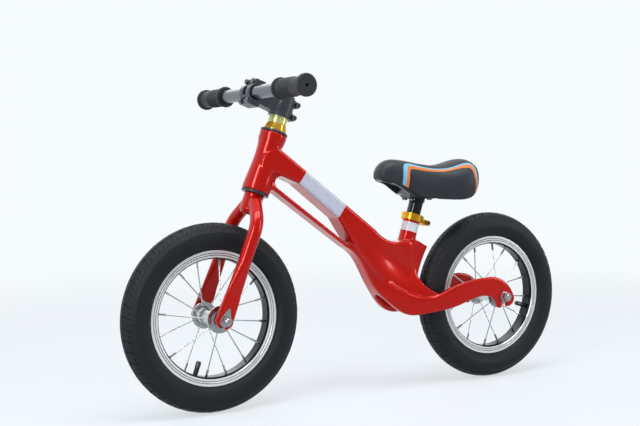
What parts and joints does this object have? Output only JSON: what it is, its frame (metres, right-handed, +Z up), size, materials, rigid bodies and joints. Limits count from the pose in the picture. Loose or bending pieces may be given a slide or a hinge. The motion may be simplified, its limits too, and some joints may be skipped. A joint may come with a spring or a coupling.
{
  "type": "balance bike",
  "caption": "Child's balance bike: cast twin-rail frame with a seat mast and rear stays, straight-bar steering fork, spoked pneumatic wheels and a height-adjustable padded saddle.",
  "frame": {"origin": "on the ground, midway between the two axles, on the bike's mid plane", "axes": "+X forward, +Y to the rider's left, +Z up"},
  "size_m": [0.8584, 0.365, 0.533],
  "materials": {
    "red_cast_paint": "gloss red stoved paint on a light alloy casting",
    "red_paint": "gloss red stoved paint on steel",
    "black_alloy": "satin black anodised alloy",
    "black_steel": "gloss black painted tube",
    "gold_alloy": "gold anodised alloy",
    "gold_bolt": "yellow passivated steel",
    "black_bolt": "black oxide steel",
    "bearing_steel": "ground steel",
    "plated_steel": "bright zinc plated steel",
    "spoke_steel": "drawn and plated steel",
    "rim_alloy": "bright machined alloy",
    "tyre_rubber": "dull black rubber with block tread",
    "soft_rubber": "smooth black rubber",
    "grip_rubber": "matt ribbed rubber",
    "black_plastic": "moulded plastic",
    "saddle_cover": "dark grey synthetic leather with two coloured stripes"
  },
  "bodies": {
    "frame": {"frame": "red_cast_paint", "headset_upper_cup": "bearing_steel", "headset_lower_cup": "bearing_steel", "seat_clamp": "gold_alloy", "seat_clamp_bolt": "gold_bolt", "seat_clamp_nut": "gold_bolt", "rear_axle": "plated_steel", "rear_cones": "bearing_steel", "rear_lock_nuts": "plated_steel", "rear_axle_washers": "plated_steel", "rear_axle_nuts": "plated_steel"},
    "steering": {"fork": "red_paint", "crown_race": "black_alloy", "headset_lower_ball_ring": "bearing_steel", "headset_upper_ball_ring": "bearing_steel", "headset_top_cover": "black_alloy", "spacer": "gold_alloy", "stem": "black_alloy", "stem_faceplate": "black_alloy", "stem_faceplate_bolts": "black_bolt", "stem_clamp_bolts": "black_bolt", "top_cap": "black_alloy", "top_cap_bolt": "black_bolt", "star_nut": "bearing_steel", "handlebar": "black_alloy", "left_grip": "grip_rubber", "right_grip": "grip_rubber", "front_axle": "plated_steel", "front_cones": "bearing_steel", "front_lock_nuts": "plated_steel", "front_axle_washers": "plated_steel", "front_axle_nuts": "plated_steel"},
    "front_wheel": {"front_tyre": "tyre_rubber", "front_inner_tube": "soft_rubber", "front_rim": "rim_alloy", "front_rim_tape": "soft_rubber", "front_spokes": "spoke_steel", "front_nipples": "spoke_steel", "front_hub_shell": "plated_steel", "front_hub_ball_rings": "bearing_steel", "front_valve_stem": "soft_rubber", "front_valve_cap": "black_plastic"},
    "rear_wheel": {"rear_tyre": "tyre_rubber", "rear_inner_tube": "soft_rubber", "rear_rim": "rim_alloy", "rear_rim_tape": "soft_rubber", "rear_spokes": "spoke_steel", "rear_nipples": "spoke_steel", "rear_hub_shell": "plated_steel", "rear_hub_ball_rings": "bearing_steel", "rear_valve_stem": "soft_rubber", "rear_valve_cap": "black_plastic"},
    "seat": {"seat_post": "black_steel", "saddle_base": "black_plastic", "saddle_cushion": "saddle_cover", "saddle_screws": "black_bolt"}
  },
  "joints": [
    {"name": "steering_turn", "type": "hinge", "parent": "frame", "child": "steering", "pos_m": [0.19813, 0, 0.35002], "axis": [-0.3476, 0, 0.9376], "range_deg": [-90, 90]},
    {"name": "front_wheel_spin", "type": "hinge", "parent": "steering", "child": "front_wheel", "pos_m": [0.2777, 0, 0.1515], "axis": [0, 1, 0], "continuous": true},
    {"name": "rear_wheel_spin", "type": "hinge", "parent": "frame", "child": "rear_wheel", "pos_m": [-0.2777, 0, 0.1515], "axis": [0, 1, 0], "continuous": true},
    {"name": "seat_height", "type": "slide", "parent": "frame", "child": "seat", "axis": [-0.309, 0, 0.9511], "range_m": [-0.016, 0.042]}
  ]
}
